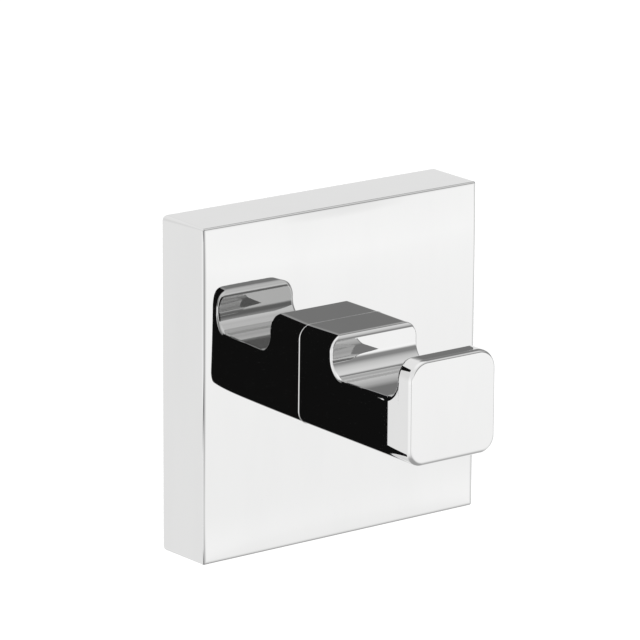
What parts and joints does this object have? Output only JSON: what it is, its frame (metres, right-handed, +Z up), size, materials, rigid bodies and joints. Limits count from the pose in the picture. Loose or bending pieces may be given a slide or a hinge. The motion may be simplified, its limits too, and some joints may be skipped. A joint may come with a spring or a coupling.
{
  "type": "towel hook",
  "caption": "Square chrome towel hook: a hollow cover plate with a short notched arm, locked by a grub screw to a bracket on a round glued wall adapter.",
  "frame": {"origin": "centre of the adhesive pad's face, on the wall plane", "axes": "+X to the right seen from the room, +Y into the wall, +Z up; the arm stands out towards -Y"},
  "size_m": [0.0554, 0.0394, 0.0554],
  "materials": {
    "chrome": "polished chrome plate on die-cast zinc",
    "cast_grey": "as-cast, fine matt grain",
    "pad_tan": "matt tan foam adhesive pad",
    "zinc_steel": "bright zinc-plated steel",
    "dark_steel": "black oxide steel"
  },
  "bodies": {
    "wall_fixing": {"wall_adapter": "cast_grey", "adhesive_pad": "pad_tan", "mounting_bracket": "zinc_steel", "adapter_screw_left": "zinc_steel", "adapter_screw_right": "zinc_steel", "bracket_washer_left": "zinc_steel", "bracket_washer_right": "zinc_steel", "bracket_nut_left": "zinc_steel", "bracket_nut_right": "zinc_steel"},
    "hook": {"cover_plate": "chrome", "hook_arm": "chrome", "arm_screw": "dark_steel", "arm_washer": "zinc_steel"},
    "grub_screw": {"grub_screw": "dark_steel"}
  },
  "joints": [
    {"name": "cover_pull_off", "type": "slide", "parent": "wall_fixing", "child": "hook", "axis": [0, -1, 0], "range_m": [0, 0.02]},
    {"name": "grub_screw_travel", "type": "slide", "parent": "hook", "child": "grub_screw", "axis": [0, 0, -1], "range_m": [0, 0.0021]}
  ]
}
